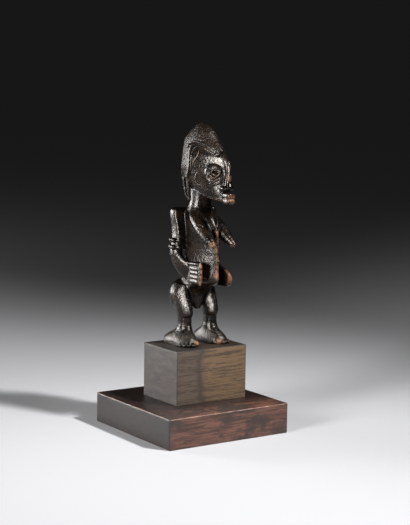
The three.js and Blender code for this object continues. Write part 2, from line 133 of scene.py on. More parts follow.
LIPS = [
    (105.4, 0, -37, 2.9, 3.4, 6, 4, 3),
    (106.3, 0, -37, 3.3, 4.3, 6, 4, 3),
    (108.4, 0, -37, 3.3, 4.3, 6, 4, 3),
    (109.2, 0, -37, 2.8, 3.5, 6, 4, 3),
    (110, 0, -37, 3.4, 4.4, 6, 4, 3),
    (112.2, 0, -37, 3.4, 4.4, 6, 4, 3),
    (113, 0, -37, 2.8, 3.4, 6, 4, 3),
]

UPPER_ARM = [
    (66, 15.3, 6.9, 3.9, 4.6, 4.8, 3, 3),
    (70, 15.1, 6.5, 3.9, 4.8, 4.9, 3, 3),
    (79, 14.1, 5.6, 3.8, 5.2, 5.2, 3.2, 3.2),
    (86, 13.9, 6.2, 4, 5, 5, 3.4, 3.4),
    (94, 14.2, 7.7, 4.4, 4.7, 4.4, 3.4, 3.4),
    (97.6, 14.1, 8, 4.2, 4.5, 4.1, 3.4, 3.4),
    (99.2, 13.8, 8.1, 3.4, 3.8, 3.4, 3.2, 3.2),
    (99.7, 13.5, 8.2, 2.2, 2.6, 2.4, 3, 3),
]
# A limb row is x, y, z, half width and half depth.
FOREARM = {
    RIGHT: [
        (15.6, 7, 69, 3.7, 4.2),
        (15.8, 4.4, 63.6, 3.4, 6),
        (14.6, -0.8, 57.6, 2.7, 6.6),
        (12.9, -7, 55, 1.6, 7.2),
    ],
    LEFT: [
        (15.6, 7, 69, 3.7, 4.2),
        (15.8, 4.6, 63, 3.4, 6),
        (14.6, -0.8, 55, 2.7, 6.4),
        (12.9, -7, 50.6, 1.6, 6.6),
    ],
}
HAND_OUTLINE = {
    RIGHT: [(-3, 60), (-10, 62), (-18, 63.2), (-21.8, 62.4), (-22.6, 58),
            (-22.8, 50), (-21.6, 47), (-14, 46.2), (-8, 46.8), (-3, 50)],
    LEFT: [(-3, 57), (-9, 57.4), (-15, 56), (-20, 53.4), (-22.6, 50.6),
           (-22.9, 48), (-21.6, 44.8), (-18.4, 43.2), (-8, 43.2), (-3, 46)],
}
# Each finger: y of its tip and its height
FINGERS = {
    RIGHT: [(-21.0, 48.4), (-21.4, 51.5), (-21.4, 54.6), (-21.0, 57.6)],
    LEFT: [(-20.0, 45.2), (-21.4, 47.8), (-20.8, 50.4), (-18.8, 52.8)],
}
THUMB = {RIGHT: [(13.8, -8, 60.8), (14, -21.4, 61.4)], LEFT: [(13.8, -5, 56.2), (14, -13, 55)]}
THUMB_RADIUS = 1.4
# Bar that the right hand holds upright
HAND_BAR = [(13.6, -22.2, 46.6), (13.7, -22.9, 54), (13.6, -22.6, 62.4)]
HAND_BAR_RADIUS = 1.2
HAND_X = 12.7
HAND_THICKNESS = 3.0
HAND_ROUNDING = 0.7
FINGER_FROM = -11.0
FINGER_WIDTH = 1.5
FINGER_DEPTH = 0.6
ARMLET_X, ARMLET_Y = 14.8, 6.0
# Each armlet: its height and its radius
ARMLETS = [(76.4, 4.3), (71.4, 4.7)]
ARMLET_THICKNESS = 1.5
ARMLET_KNOBS = 6
BREAST = [
    (6, -3.2, 94, 5.2, 5),
    (6.8, -9, 90, 5.3, 5.2),
    (7.6, -17, 84.6, 5.1, 5.1),
    (8.3, -25, 79.2, 3.8, 3.9),
    (8.7, -30, 76.1, 2.3, 2.4),
    (8.8, -31.4, 75.2, 1.5, 1.6),
]
# A lump is its place and its three half sizes, then its turns about x and z.
BUTTOCK = ((9.4, 9.4, 35.8), (8.2, 8.6, 11.6), 0.1)
THIGH = [
    (20.4, 11, 1, 4.6, 6.2, 5.5, 1.9, 2.2),
    (21.3, 11, 0.9, 5, 7.8, 5.7, 1.7, 2.2),
    (24, 11, 1, 5.4, 9.2, 6.2, 1.5, 2.2),
    (30, 11.1, 3, 6, 9.8, 7.2, 1.45, 2.2),
    (38, 10.8, 6, 6.6, 9.6, 8.4, 1.5, 2.2),
    (44, 9.6, 5, 4.8, 6.6, 6.6, 2, 2.2),
]
SHIN = [
    (7, 11.2, 1, 5, 6.6, 6.2, 2.2, 2.2),
    (11, 11.1, 1, 4.6, 5.9, 5.6, 2.3, 2.2),
    (16, 11, 1.1, 4.5, 5.7, 5.4, 2.3, 2.2),
    (23, 11, 1.1, 4.6, 5.8, 5.4, 2.2, 2.2),
]
# Each toe: x and y of its middle, and its radius
TOES = [(9.9, -11.2, 2.5), (13.2, -12.6, 1.9), (15.9, -11.6, 1.7), (17.9, -9.4, 1.6), (19.1, -6.6, 1.5)]
TOE_HALF_LENGTH = 4.2
TOE_SPREAD = 0.07
NOSE = [
    (0, -29.4, 140, 1.2, 1.4),
    (0, -34.6, 133.6, 1.4, 2.4),
    (0, -36.4, 127, 1.6, 2.6),
    (0, -35.6, 120.5, 2.2, 2.8),
    (0, -36.4, 117, 3, 3.2),
]
NOSTRIL = ((2.6, -34.6, 116.2), (2, 4.2, 1.7))
# The eye socket, the lid that bulges in it and the slit between the lids share one turn about z.
FACE_TURN = 0.51
SOCKET = ((7.6, -26.4, 127.4), (2.3, 8.4, 7), 0, -FACE_TURN)
LID = ((5.6, -26, 127.2), (2.1, 7, 5.9), 0, -FACE_TURN)
EYE_PLACE, EYE_LENGTH, EYE_HEIGHT, EYE_TILT, EYE_RIM = (6.9, -27.9, 125.9), 5.4, 2.5, 0.4, 0.6
EYE_SLIT = (EYE_PLACE, (1.6, 4.9, 2.1), EYE_TILT, -FACE_TURN)
EYE_BALL = (EYE_PLACE, (1.3, 3.9, 0.85), EYE_TILT, -FACE_TURN)
TEMPLE = ((13.6, -15.4, 136.6), (3.2, 8.4, 8.2), 0, -0.22)
# Dark hollow beside the mouth
CHEEK_HOLLOW = ((3.7, -34.2, 112.6), (1.5, 2, 2.6))
SIDE_PLAIT = [
    (12.2, -2, 132, 1.6, 2),
    (12, -2, 124, 1.2, 1.8),
    (11.2, -2.4, 114, 1.1, 1.6),
    (10.4, -2.6, 106, 1, 1.4),
]
NAPE_PLAIT = [
    (0, 13.6, 132, 6, 2.6),
    (0, 15.8, 126, 5.8, 2.3),
    (0, 14.8, 118, 5, 2),
    (0, 13.8, 110, 4.2, 1.8),
    (0, 12.6, 105.4, 3.2, 1.4),
]
SPINE = ((0, 11.4, 76), (1.3, 1.6, 18))

# Cuts right through the head, as outlines in the side view: y and z
JAW_CUT = [(24, 131), (8, 121), (-5, 113), (-14, 110.4), (-25, 107.6), (-42, 106.2), (-42, 90), (24, 90)]
HAIR_CUT = [
    (-50, 139.8), (-27, 139.8), (-24.6, 139.2), (-21.6, 141), (-17.8, 143), (-13, 144.7), (-9.5, 145.2),
    (-7.2, 143.4), (-6.6, 140), (-7, 134), (-6.8, 128), (-3, 120), (-50, 120),
]

# Raised and sunk lines of the head, as points on its surface
HAIR_RIDGES = [
    [(12.9, -2.6, 143.5), (12.2, -4.2, 146.3), (11.2, -8.3, 147.9), (9.6, -12, 147.4),
     (7.4, -17.3, 146), (5.7, -20.8, 143.9), (3.8, -24.6, 141.4)],
    [(13.6, -6, 134), (13, -6, 141.5), (12.2, -6.4, 144.6), (11.2, -8.9, 145.9),
     (9.6, -13, 145.1), (8, -17.8, 143.4), (6.4, -21.6, 141.5), (4.6, -25, 139.9)],
]
BROW_GROOVE = [
    (9.5, -20, 131.6), (8.3, -22.5, 133.3), (6.6, -25.6, 134),
    (4.5, -29.1, 133.2), (3.1, -31.4, 131.8), (1.6, -33.4, 129.6),
]
TEMPLE_LINE = [
    (10.2, -13.7, 142.1), (10.9, -14, 139.3), (12.1, -12.3, 136.1),
    (12.7, -10.5, 133.2), (12.8, -10.2, 131.4),
]
EAR = [(11.6, -13.6, 125.6), (11.8, -12.2, 122.4), (11.3, -12.2, 119.4), (10.2, -14.4, 117.4)]
CHEEK_SCARS = [
    [(7.3, -24.6, 116.6), (5.9, -27.6, 118.4), (3.9, -30.9, 120.1)],
    [(7.6, -24.4, 118.9), (6.2, -27.3, 120.7), (4.5, -30.4, 122.2)],
]
JAW_RIM = [
    (9.9, -5.5, 114), (9, -13.3, 111.5), (8, -19, 110.1),
    (6.4, -25, 108.6), (4.1, -31, 107.7), (3.2, -34.5, 107.3),
]
FOREHEAD_LINE = [(1.3, -31.2, 138.6), (1.5, -32.6, 133.8)]

# Raised band down the front of the body, and the marks cut into breasts and belly
MIDDLE_BAND = [(0, -22.6, 88), (0, -23, 80), (0, -23.2, 68), (0, -23.8, 56), (0, -23.6, 48.5)]
BREAST_MARKS = [
    [(11.7, -15.6, 89.1), (10.9, -18.3, 88.6), (9.7, -20.4, 87.7)],
    [(12.4, -17.5, 86.5), (11.6, -20.7, 85.7)],
]
BELLY_MARKS = [[(6.2, -16.1, 50.6), (4.8, -18.7, 50.5)], [(5.8, -16.2, 48.1), (4.3, -17.9, 47.5)]]

# Places where handling has rubbed the patina through, which also paint the warm key light on front-facing
# parts:
# x, y, z, radius, strength
WORN_AND_LIT_PLACES = [
    (0, -39.5, 109, 5, 0.75),
    (-8.8, -30.5, 75.8, 3.2, 0.9),
    (8.8, -30.5, 75.8, 3.2, 0.7),
    *((0, -24.5, height, 4.2, 0.6) for height in (59, 65, 71, 77)),
    (0, -24.5, 83, 4, 0.7),
    (0, -25, 53, 4.5, 0.9),
    *((-13.4, -23.6, height, 2.6, 0.8) for height in (48.5, 52.5, 56.5, 60.5)),
    (14, -19, 50, 7, 0.9),
    *((side * 9.9, -14, 2.5, 3.4, 0.9) for side in BOTH),
    (0, -37, 124, 4, 0.6),
    (0, -36, 131, 4, 0.4),
    (-11, -4, 16, 6, 0.3),
]
# How far the finish looks outwards for hollows and inwards for edges, in mm, and each look's weight.
# The hollows found are darkened with dirt and painted shade.
HOLLOW_LOOKS = ((1.0, 0.4), (2.2, 0.35), (4.5, 0.25))
EDGE_LOOKS = ((0.7, 0.5), (1.6, 0.5))
# Where the hair's dull finish starts: clear of the face, and above the nape
HAIR_BAND = (1.5, 3.5)
NAPE_BAND = (127, 130)

# Ranges of x, y and z that the clay is worked out in
CLAY_BOX = ((-23.5, 23.5), (-44, 23), (-1.2, 164))

# Bands in mm of the part's own frame, in which a finish changes
FACE_Z = (158, 170)
FEET_Z = (66, 74)
TOES_Y = (-12, -3)
BLOCK_END_X = (-25.2, -24.6)
BLOCK_TOP_Z = (61.0, 61.3)
SLAB_END_X = (-50.5, -49.9)
SLAB_TOP_Z = (21.4, 21.9)
SLAB_FRONT_Y = (-42, -24)
# Level at which the heartwood comes nearest to the block's grey end
HEART_Z = 42
# Tint of the patina's sheen
WARM_WHITE = (1.0, 0.93, 0.86)
BUMP_STRENGTH = 0.5

# Steps of the plinth pieces: round an edge, up a side and along a side
EDGE_STEPS, RISE_STEPS, SIDE_STEPS = 7, 14, 40
# Shares of the plan at which their underside and top are crossed
CAP = (0, 0.5, 0.9)
# Waves of wear round their edges: radians a metre along x and y, and the start
WEAR_WAVES = ((310, 170, 0), (-450, 520, 2), (1100, -900, 0))
EDGE_WEAR = 0.25

# Soft lamps: place, what they face, width and height in metres, and spread in degrees
FIGURE_MIDDLE = Vector((0.005, 0, 0.14))
HEAD = FIGURE_MIDDLE + Vector((0, 0, 0.04))
SOFT_LAMPS = {
    "rim": (FIGURE_MIDDLE + Vector((-0.45, 0.73, 0.12)), HEAD, (0.54, 0.4), 36),
    "softbox": (FIGURE_MIDDLE + Vector((-0.81, -0.2, 0.18)), HEAD, (0.32, 0.3), 38),
    "backdrop": (Vector((-0.82, 1.03, 0.35)), Vector((-0.82, 1.03, 0)), (0.3, 0.3), 180),
}
KEY_RADIUS = 0.06
# Points nearer than this, in metres, are one
SEAM = 1e-7
SENSOR_WIDTH = 36
FLOOR_RADII = (8.0, 3.0, 1.0, 0.4, 0.0)
FLOOR_STEPS = 96
# The floor's own glow in the dark room, as a share of the room's brightness
FLOOR_GLOW = 0.6


def smooth_rows(rows):
    """Smooth curve through rows whose first number is the place along it: a cubic in each gap, whose
    slope at a row is the slope between its two neighbours."""
    table = np.array(rows, float)
    place, value = table[:, 0], table[:, 1:]
    gap = np.diff(place)[:, None]
    slope = np.diff(value, axis=0) / gap
    tangent = np.concatenate([slope[:1], slope])
    if len(rows) > 2:
        tangent[1:-1] = (value[2:] - value[:-2]) / (place[2:] - place[:-2])[:, None]
        tangent[0] = 1.5 * slope[0] - 0.5 * tangent[1]
        tangent[-1] = 1.5 * slope[-1] - 0.5 * tangent[-2]

    def at(where):
        where = np.clip(where, place[0], place[-1])
        i = np.clip(np.searchsorted(place, where, side="right") - 1, 0, len(rows) - 2)
        step = place[i + 1] - place[i]
        s = (where - place[i]) / step
        weights = (
            (1 + 2 * s) * (1 - s) ** 2,
            s * (1 - s) ** 2 * step,
            s * s * (3 - 2 * s),
            s * s * (s - 1) * step,
        )
        parts = (value[i], tangent[i], value[i + 1], tangent[i + 1])
        return sum(w[..., None] * part for w, part in zip(weights, parts))

    return at


def smooth_path(points, steps):
    """Points along the smooth curve through the given ones, whose place along it is the root of their
    distance."""
    points = np.array(points, float)
    gaps = np.sqrt(np.linalg.norm(np.diff(points[:, :3], axis=0), axis=1))
    place = np.concatenate([[0], np.cumsum(gaps)])
    curve = smooth_rows(np.column_stack([place, points]))
    return curve(np.linspace(0, place[-1], steps + 1))


Shape = namedtuple("Shape", "distance low high")
# How far round its own box a shape still changes the clay
MARGIN = 2.5


def boxed(distance, low, high):
    """A shape with its box."""
    return Shape(distance, np.array(low, float) - MARGIN, np.array(high, float) + MARGIN)


def soft_min(a, b, blend):
    """The smaller of two distances, with the edge between them rounded over a width of about `blend`."""
    return np.minimum(a, b) - np.maximum(blend - np.abs(a - b), 0) ** 2 / (4 * blend)


class Clay:
    """Signed distances in mm, negative inside, at the crossings of a grid or at loose points. A shape is
    worked out only in and near its own box."""

    def __init__(self, x, y, z):
        self.axes = (x, y, z)
        self.depth = np.full(np.broadcast_shapes(x.shape, y.shape, z.shape), FAR, x.dtype)

    def near(self, shape):
        """Which points lie in the shape's box, and their coordinates."""
        x, y, z = self.axes
        if self.depth.ndim == 3:
            ends = zip(self.axes, shape.low, shape.high)
            i, j, k = (slice(*np.searchsorted(axis.ravel(), (low, high))) for axis, low, high in ends)
            return (i, j, k), (x[i], y[:, j], z[:, :, k])
        inside = np.ones(len(x), bool)
        for axis, low, high in zip(self.axes, shape.low, shape.high):
            inside &= (axis > low) & (axis < high)
        at = np.flatnonzero(inside)
        return at, (x[at], y[at], z[at])

    def add(self, shape, blend=0.8):
        at, place = self.near(shape)
        self.depth[at] = soft_min(self.depth[at], shape.distance(*place), blend)

    def cut(self, shape, blend=0.4):
        at, place = self.near(shape)
        self.depth[at] = -soft_min(-self.depth[at], shape.distance(*place), blend)

    def join(self, other, blend):
        self.depth = soft_min(self.depth, other.depth, blend)


def stack(rows, x0=0.0, side=1):
    """Level sections |x / w|^p + |y / r|^p = 1 stacked upwards, where w, r and p change smoothly with
    height. The distance is the section's radius less one, over its slope."""
    section = smooth_rows(rows)
    table = np.array(rows, float)
    low, high = table[0, 0], table[-1, 0]

    def distance(x, y, z):
        shift, middle, width, front, back, front_power, back_power = np.moveaxis(section(z), -1, 0)
        across = np.abs(x - x0 - side * shift) / width + 1e-6
        along = y - middle
        reach = np.where(along < 0, front, back)
        power = np.where(along < 0, front_power, back_power)
        along = np.abs(along) / reach + 1e-6
        radius = (across**power + along**power) ** (1 / power)
        slope = np.hypot(across ** (power - 1) / width, along ** (power - 1) / reach)
        slope = slope * radius ** (1 - power)
        return np.maximum((radius - 1) / slope, np.maximum(low - z, z - high))

    reach_x = np.abs(table[:, 1]).max() + table[:, 3].max()
    return boxed(
        distance,
        (x0 - reach_x, (table[:, 2] - table[:, 4]).min(), low),
        (x0 + reach_x, (table[:, 2] + table[:, 5]).max(), high),
    )


def tube(path, width, depth, across=(1, 0, 0)):
    """Oval tube with round ends along straight pieces. At each piece the distance is |q| (1 - 1 / rho),
    where q leads from the piece to the point and rho is q's length in half widths and half depths."""
    path, width, depth = (np.asarray(a, float) for a in (path, width, depth))
    ahead = np.diff(path, axis=0)
    length = np.linalg.norm(ahead, axis=1)
    ahead /= length[:, None]
    side = np.array(across, float) - ahead * (ahead @ np.array(across, float))[:, None]
    side /= np.linalg.norm(side, axis=1)[:, None]
    up = np.cross(ahead, side)

    def distance(x, y, z):
        best = np.full(np.broadcast_shapes(x.shape, y.shape, z.shape), FAR, x.dtype)
        for i, start in enumerate(path[:-1]):
            q = (x - start[0], y - start[1], z - start[2])
            along = sum(a * b for a, b in zip(q, ahead[i]))
            t = np.clip(along / length[i], 0, 1)
            past = along - t * length[i]
            w = width[i] + t * (width[i + 1] - width[i])
            d = depth[i] + t * (depth[i + 1] - depth[i])
            s = sum(a * b for a, b in zip(q, side[i]))
            u = sum(a * b for a, b in zip(q, up[i]))
            size = np.sqrt(s * s + u * u + past * past) + 1e-6
            rho = np.sqrt((s / w) ** 2 + (u / d) ** 2 + (past / np.minimum(w, d)) ** 2) + 1e-6
            best = np.minimum(best, size - size / rho)
        return best

    reach = np.maximum(width, depth)[:, None]
    return boxed(distance, (path - reach).min(axis=0), (path + reach).max(axis=0))


def on_side(points, side):
    """Points with x outwards, put on one side of the body."""
    return [(side * x, *rest) for x, *rest in points]


def limb(rows, side=1, steps=14):
    """Tube along the smooth curve through limb rows."""
    fine = smooth_path(on_side(rows, side), steps)
    return tube(fine[:, :3], fine[:, 3], fine[:, 4])


def line(points, radius, side=1, steps=10):
    """Thin round line along the smooth curve through points, thinner towards its ends."""
    fine = smooth_path(on_side(points, side), steps)
    place = np.linspace(-1, 1, steps + 1)
    radii = radius * (1 - 0.35 * place**4)
    return tube(fine, radii, radii, across=(0.3, 0.2, 1))


def lump(place, size, turn_x=0.0, turn_z=0.0, side=1):
    """Ellipsoid with three half sizes, turned about x and then about z, on one side of the body. The
    distance is |q| (1 - 1 / rho), where q leads from its middle to the point and rho is q's length in
    half sizes."""
    place = (side * place[0], *place[1:])
    turn = np.array(Matrix.Rotation(side * turn_z, 3, "Z") @ Matrix.Rotation(turn_x, 3, "X"))

    def distance(x, y, z):
        q = (x - place[0], y - place[1], z - place[2])
        own = [sum(a * b for a, b in zip(q, column)) for column in turn.T]
        length = np.sqrt(sum(a * a for a in own)) + 1e-6
        rho = np.sqrt(sum((a / s) ** 2 for a, s in zip(own, size))) + 1e-6
        return length - length / rho

    reach = np.sqrt((turn**2) @ np.square(size))
    return boxed(distance, np.array(place) - reach, np.array(place) + reach)


def outline_distance(outline, y, z):
    """Signed distance from a closed outline in the side view: the nearest edge, negative where an odd
    number of edges lies to one side."""
    nearest = np.full(np.broadcast_shapes(y.shape, z.shape), FAR, y.dtype)
    odd = np.zeros(nearest.shape, bool)
    for (y0, z0), (y1, z1) in zip(outline, outline[1:] + outline[:1]):
        ey, ez = y1 - y0, z1 - z0
        t = np.clip(((y - y0) * ey + (z - z0) * ez) / (ey * ey + ez * ez), 0, 1)
        nearest = np.minimum(nearest, np.hypot(y - y0 - t * ey, z - z0 - t * ez))
        if ez:
            odd ^= ((z0 > z) != (z1 > z)) & (y < y0 + (z - z0) * ey / ez)
    return np.where(odd, -nearest, nearest)


def plate(outline, x0, thickness, rounding):
    """Flat piece with an outline in the side view and rounded edges."""

    def distance(x, y, z):
        edge = outline_distance(outline, y, z) + rounding
        face = np.abs(x - x0) - thickness / 2 + rounding
        outside = np.hypot(np.maximum(edge, 0), np.maximum(face, 0))
        return outside + np.minimum(np.maximum(edge, face), 0) - rounding

    ys, zs = np.array(outline, float).T
    low, high = (x0 - thickness / 2, ys.min(), zs.min()), (x0 + thickness / 2, ys.max(), zs.max())
    return boxed(distance, low, high)


def prism(outline):
    """Cutter right through the head with an outline in the side view."""
    ys, zs = np.array(outline, float).T
    low, high = (-FAR, ys.min(), zs.min()), (FAR, ys.max(), zs.max())
    return boxed(lambda x, y, z: outline_distance(outline, y, z) + 0 * x, low, high)


def flanks():
    """Cutter that leaves the trunk flat at both sides: all that lies further out than the flanks."""
    low, high = (-FAR, -FAR, TRUNK[0][0]), (FAR, FAR, TRUNK[-1][0])
    return boxed(lambda x, y, z: FLANK_X - np.abs(x) + 0 * (y + z), low, high)


def underfoot():
    """Cutter that leaves the feet flat: all that lies below the block's top."""
    return boxed(lambda x, y, z: z + 0 * (x + y), (-FAR, -FAR, -FAR), (FAR, FAR, 0))


def armlet(side, height, radius):
    """Ring round the arm whose thickness swells into knobs: r = thickness (1 + 0.3 cos(knobs * angle))."""
    x0 = side * ARMLET_X

    def distance(x, y, z):
        angle = np.arctan2(y - ARMLET_Y, x - x0)
        swell = 1 + 0.3 * np.cos(ARMLET_KNOBS * (angle - 0.3))
        out = np.hypot(x - x0, y - ARMLET_Y) - radius
        return np.hypot(out, z - height) - ARMLET_THICKNESS * swell

    reach = radius + 1.4 * ARMLET_THICKNESS
    low, high = (x0 - reach, ARMLET_Y - reach, height - 2), (x0 + reach, ARMLET_Y + reach, height + 2)
    return boxed(distance, low, high)


def eye_ring(side):
    """Points of the almond round the eye, on the slanting side of the face: an ellipse, narrower at its
    ends."""
    normal = Vector((side * math.cos(FACE_TURN), -math.sin(FACE_TURN), 0))
    along = Vector((side * math.sin(FACE_TURN), math.cos(FACE_TURN), 0))
    along.rotate(Matrix.Rotation(-side * EYE_TILT, 3, normal))
    across = normal.cross(along)
    centre = np.array((side * EYE_PLACE[0], *EYE_PLACE[1:]))
    angle = np.linspace(0, 2 * np.pi, 25)[:, None]
    narrow = 1 - 0.35 * np.cos(angle) ** 4
    lengthways = np.array(along) * EYE_LENGTH * np.cos(angle)
    return centre + lengthways + np.array(across) * EYE_HEIGHT * narrow * np.sin(angle)


def carve_head(x, y, z):
    """Skull and face with the cap of hair, its ridges, and the features."""
    head = Clay(x, y, z)
    head.add(stack(FACE))
    hair = Clay(x, y, z)
    hair.add(stack(HAIR))
    hair.cut(prism(HAIR_CUT), 0.5)
    head.join(hair, 0.5)
    head.cut(prism(JAW_CUT), 0.6)
    for side in BOTH:
        head.cut(lump(*SOCKET, side=side), 0.3)
        head.add(lump(*LID, side=side), 0.3)
        head.cut(line(BROW_GROOVE, 0.9, side), 0.3)
        head.cut(lump(*EYE_SLIT, side=side), 0.3)
        ring = eye_ring(side)
        rim = np.full(len(ring), EYE_RIM)
        head.add(tube(ring, rim, rim), 0.3)
        head.add(lump(*EYE_BALL, side=side), 0.2)
        head.cut(lump(*TEMPLE, side=side), 0.3)
        for ridge in HAIR_RIDGES:
            head.add(line(ridge, 0.8, side, 16), 0.4)
        head.add(line(TEMPLE_LINE, 0.55, side), 0.4)
        head.add(line(EAR, 0.8, side), 0.5)
        for scar in CHEEK_SCARS:
            head.add(line(scar, 0.5, side), 0.3)
        head.add(line(JAW_RIM, 0.6, side), 0.5)
        head.cut(line(FOREHEAD_LINE, 0.5, side), 0.4)
    head.add(limb(NOSE), 1.6)
    for side in BOTH:
        head.add(lump(*NOSTRIL, side=side), 0.9)
        head.cut(lump(*CHEEK_HOLLOW, side=side), 0.5)
    head.add(stack(LIPS), 0.3)
    return head


def carve_plaits(x, y, z):
    """Plaits beside the neck and down the nape."""
    plaits = Clay(x, y, z)
    plaits.add(limb(NAPE_PLAIT))
    for side in BOTH:
        plaits.add(limb(SIDE_PLAIT, side))
    return plaits


def carve_body(x, y, z):
    """Trunk, shoulders, breasts, arms and legs."""
    body = Clay(x, y, z)
    body.add(stack(TRUNK))
    body.cut(flanks(), 0.5)
    body.cut(lump(*SPINE), 0.8)
    band = smooth_path(MIDDLE_BAND, 12)
    body.add(tube(band, np.full(len(band), 1.1), np.full(len(band), 1.0)), 0.3)
    body.add(stack(YOKE), 1.0)
    for side in BOTH:
        body.add(limb(BREAST, side), 0.8)
        for mark in BREAST_MARKS:
            body.cut(line(mark, 0.45, side), 0.3)
        for mark in BELLY_MARKS:
            body.cut(line(mark, 0.4, side), 0.3)
        body.add(stack(UPPER_ARM, 0, side), 0.8)
        body.add(limb(FOREARM[side], side), 1.2)
        carve_hand(body, side)
        for height, radius in ARMLETS:
            body.add(armlet(side, height, radius), 0.3)
        body.add(lump(*BUTTOCK, side=side), 1.5)
        body.add(stack(THIGH, 0, side), 1.5)
        body.add(stack(SHIN, 0, side), 0.3)
        body.add(stack(FOOT, side * FOOT_X, -side), 1.2)
        for toe_x, toe_y, radius in TOES:
            turn = (toe_x - TOES[0][0]) * TOE_SPREAD
            size = (radius, TOE_HALF_LENGTH, radius)
            body.add(lump((toe_x, toe_y, radius), size, 0, turn, side), 0.3)
    return body


def carve_hand(body, side):
    """Flat hand with four fingers and a thumb raised on its outer face, and the bar in the right one."""
    body.add(plate(HAND_OUTLINE[side], side * HAND_X, HAND_THICKNESS, HAND_ROUNDING), 0.6)
    outside = HAND_X + HAND_THICKNESS / 2
    for tip, height in FINGERS[side]:
        ends = [(outside, y, height, FINGER_DEPTH, FINGER_WIDTH) for y in (FINGER_FROM, tip + FINGER_WIDTH)]
        body.add(limb(ends, side, 1), 0.25)
    body.add(line(THUMB[side], THUMB_RADIUS, side, 4), 0.4)
    if side == RIGHT:
        body.add(line(HAND_BAR, HAND_BAR_RADIUS, side, 6), 0.1)


def carve(x, y, z):
    """Signed distances of the whole figure."""
    figure = carve_body(x, y, z)
    figure.join(carve_plaits(x, y, z), 0.3)
    figure.join(carve_head(x, y, z), 0.8)
    figure.cut(underfoot(), 0.05)
    return figure.depth


def depth_at(points):
    return carve(*points.T)


def skin(depth, axes):
    """Mesh over the zero surface. Each grid cell that the surface passes gets one vertex, the mean of the
    places where its edges cross the surface, and each crossed edge gets a face between the four cells
    round it."""
    inside = depth < 0
    corners, crossings = [], []
    for a in range(3):
        low, high = [slice(None)] * 3, [slice(None)] * 3
        low[a], high[a] = slice(0, -1), slice(1, None)
        start = np.argwhere(inside[tuple(low)] != inside[tuple(high)])
        end = start + np.eye(3, dtype=int)[a]
        before, after = depth[tuple(start.T)], depth[tuple(end.T)]
        crossing = np.column_stack([axes[i][start[:, i]] for i in range(3)])
        crossing[:, a] += before / (before - after) * (axes[a][end[:, a]] - axes[a][start[:, a]])
        b, c = (a + 1) % 3, (a + 2) % 3
        ring = []
        for back_b, back_c in ((1, 1), (0, 1), (0, 0), (1, 0)):
            cell = start.copy()
            cell[:, b] -= back_b
            cell[:, c] -= back_c
            ring.append(np.ravel_multi_index(cell.T, depth.shape))
        ring = np.stack(ring, axis=1)
        turned = before > 0
        ring[turned] = ring[turned, ::-1]
        corners.append(ring)
        crossings.append(crossing)
    corners, crossings = np.concatenate(corners), np.concatenate(crossings)
    cells, faces = np.unique(corners, return_inverse=True)
    faces = faces.reshape(corners.shape)
    count = np.bincount(faces.ravel(), minlength=len(cells))
    vertices = np.column_stack([
        np.bincount(faces.ravel(), weights=np.repeat(crossings[:, i], 4), minlength=len(cells)) / count
        for i in range(3)
    ])
    return vertices, faces


def slope_at(points, step=0.05):
    """Direction in which the depth grows, from the depth a small step to either side along each axis."""
    moves = np.eye(3) * step
    growth = [depth_at(points + move) - depth_at(points - move) for move in moves]
    return np.column_stack(growth) / (2 * step)


def settle(points, rounds, reach=0.25):
    """Moves points onto the zero surface: each round goes the depth against the slope, no further than
    reach."""
    for _ in range(rounds):
        depth = depth_at(points)
        slope = slope_at(points)
        move = slope * (depth / np.maximum((slope**2).sum(axis=1), 0.05))[:, None]
        length = np.linalg.norm(move, axis=1)[:, None]
        points = points - move * np.minimum(1, reach / np.maximum(length, 1e-9))
    return points


def new_piece(name, vertices, faces, material):
    """A smooth mesh object at the origin from arrays in metres."""
    mesh = bpy.data.meshes.new(name)
    mesh.from_pydata(vertices.tolist(), [], faces.tolist())
    mesh.update()
    mesh.polygons.foreach_set("use_smooth", np.full(len(mesh.polygons), True))
    mesh.materials.append(material)
    piece = bpy.data.objects.new(name, mesh)
    bpy.context.scene.collection.objects.link(piece)
    return piece


def vertices_of(mesh):
    points = np.empty(3 * len(mesh.vertices))
    mesh.vertices.foreach_get("co", points)
    return points.reshape(-1, 3)


def thin_out(piece, triangles):
    """Collapses edges until the piece has no more than the given number of triangles."""
    count = 2 * len(piece.data.polygons)
    if count <= triangles:
        return
    decimate = piece.modifiers.new("thin out", "DECIMATE")
    decimate.ratio = triangles / count
    depsgraph = bpy.context.evaluated_depsgraph_get()
    thinned = bpy.data.meshes.new_from_object(piece.evaluated_get(depsgraph))
    piece.modifiers.remove(decimate)
    old = piece.data
    piece.data = thinned
    bpy.data.meshes.remove(old)
    thinned.name = piece.name


def paint(mesh, name, values):
    """One number for each vertex, for the finish to read."""
    layer = mesh.attributes.new(name, "FLOAT", "POINT")
    layer.data.foreach_set("value", np.clip(values, 0, 1).astype(np.float32))


def nearness(points, normals, way, looks):
    """How much nearer the surface comes than over a plain, seen along the normals: outwards (way 1) that
    finds hollows, inwards (way -1) sharp edges."""
    found = 0
    for distance, weight in looks:
        seen = way * depth_at(points + way * distance * normals)
        found = found + weight * (1 - np.minimum(seen, distance) / distance)
    return found


def ramp(values, low, high):
    """Straight rise from 0 at low to 1 at high."""
    return np.clip((values - low) / (high - low), 0, 1)


def hair_at(points):
    """The cap of hair: all that lies clear of the cut over the face, above the nape."""
    y, z = points.T[1:]
    return ramp(outline_distance(HAIR_CUT, y, z), *HAIR_BAND) * ramp(z, *NAPE_BAND)


def worn_and_lit_at(points):
    """Rubbed places, which also paint the warm key light on front-facing parts: smooth spots that fade out
    from their middle.
    """
    worn = np.zeros(len(points))
    for x, y, z, radius, strength in WORN_AND_LIT_PLACES:
        away = np.linalg.norm(points - (x, y, z), axis=1) / radius
        worn = np.maximum(worn, strength * np.exp(-(away**2)))
    return worn


